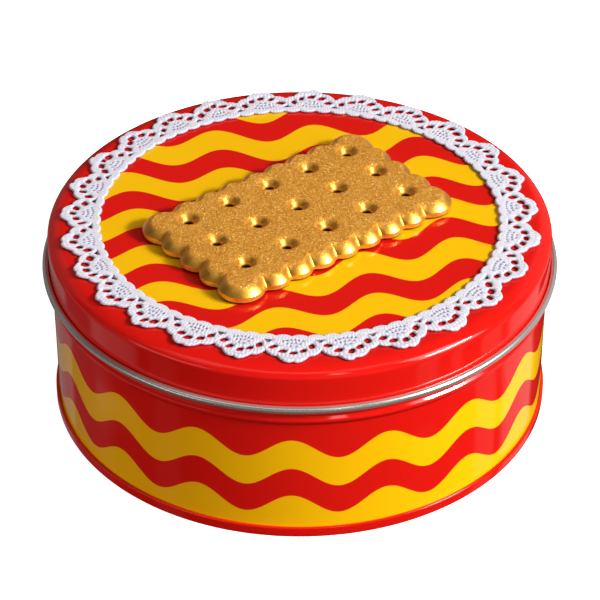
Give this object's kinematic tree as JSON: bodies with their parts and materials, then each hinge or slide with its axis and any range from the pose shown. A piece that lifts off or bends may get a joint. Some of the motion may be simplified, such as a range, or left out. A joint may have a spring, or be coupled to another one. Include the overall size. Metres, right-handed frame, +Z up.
{
  "type": "cookie tin",
  "caption": "Round slip-lid cookie tin with a wavy two-colour print, a lace edging round the lid and a gold biscuit-shaped ornament on top.",
  "frame": {"origin": "centre of the tin on the surface it stands on", "axes": "+Z up along the tin's axis, +X to the right and -Y towards the viewer of the front"},
  "size_m": [0.2, 0.2, 0.084],
  "materials": {
    "lid_shell": "glossy red and yellow enamel print over tinplate, bare steel on the rolled edge",
    "body_wall": "glossy red enamel with yellow wavy bands over tinplate",
    "base_plate": "glossy red enamel outside, bare tinplate inside",
    "lace_ring": "white crocheted cotton",
    "lace_glue": "clear craft glue, matt",
    "biscuit_ornament": "metallic gold with fine glitter, polished rim",
    "biscuit_pad": "white foam, matt"
  },
  "bodies": {
    "tin": {"body_wall": "body_wall", "base_plate": "base_plate"},
    "lid": {"lid_shell": "lid_shell", "lace_ring": "lace_ring", "lace_glue": "lace_glue", "biscuit_ornament": "biscuit_ornament", "biscuit_pad": "biscuit_pad"}
  },
  "joints": [
    {"name": "lid_lift", "type": "slide", "parent": "tin", "child": "lid", "axis": [0, 0, 1], "range_m": [0, 0.12]}
  ]
}
